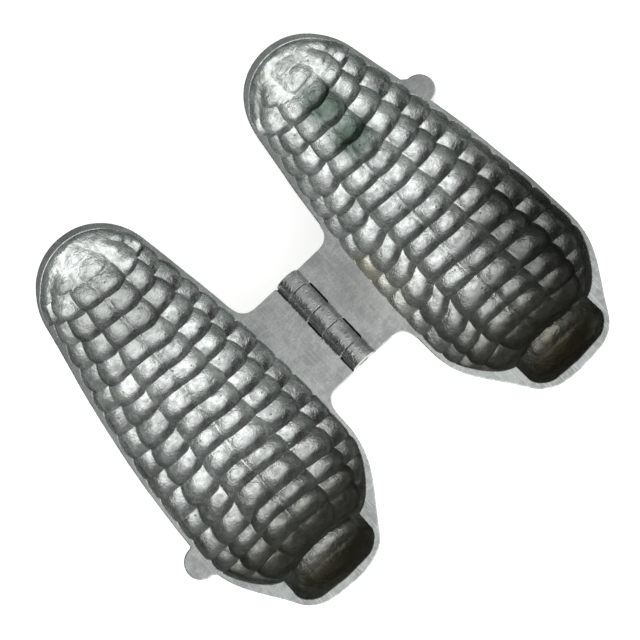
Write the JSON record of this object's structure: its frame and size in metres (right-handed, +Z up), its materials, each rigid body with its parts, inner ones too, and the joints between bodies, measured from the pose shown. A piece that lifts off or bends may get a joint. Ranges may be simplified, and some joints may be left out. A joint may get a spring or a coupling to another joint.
{
  "type": "hinged ice cream mould",
  "caption": "Cast pewter ice cream mould for an ear of corn: two hollow halves with flat rims and finger tabs that fold shut about a hinge pin.",
  "frame": {"origin": "under the middle of the open mould, on the surface that it lies on", "axes": "+X across the hinge from the left half to the right half, +Y along the hinge pin from the stems to the tips, +Z up out of the hollows"},
  "size_m": [0.1408, 0.125, 0.0301],
  "materials": {
    "cast_pewter": "satin cast pewter with dull oxide and polished high spots",
    "steel_pin": "dull drawn wire"
  },
  "bodies": {
    "left": {"left_half": "cast_pewter"},
    "right": {"right_half": "cast_pewter", "hinge_pin": "steel_pin"}
  },
  "joints": [
    {"name": "hinge", "type": "hinge", "parent": "left", "child": "right", "pos_m": [0.0025, -0.00625, 0.02615], "axis": [0, -1, 0], "range_deg": [-98, 180]}
  ]
}
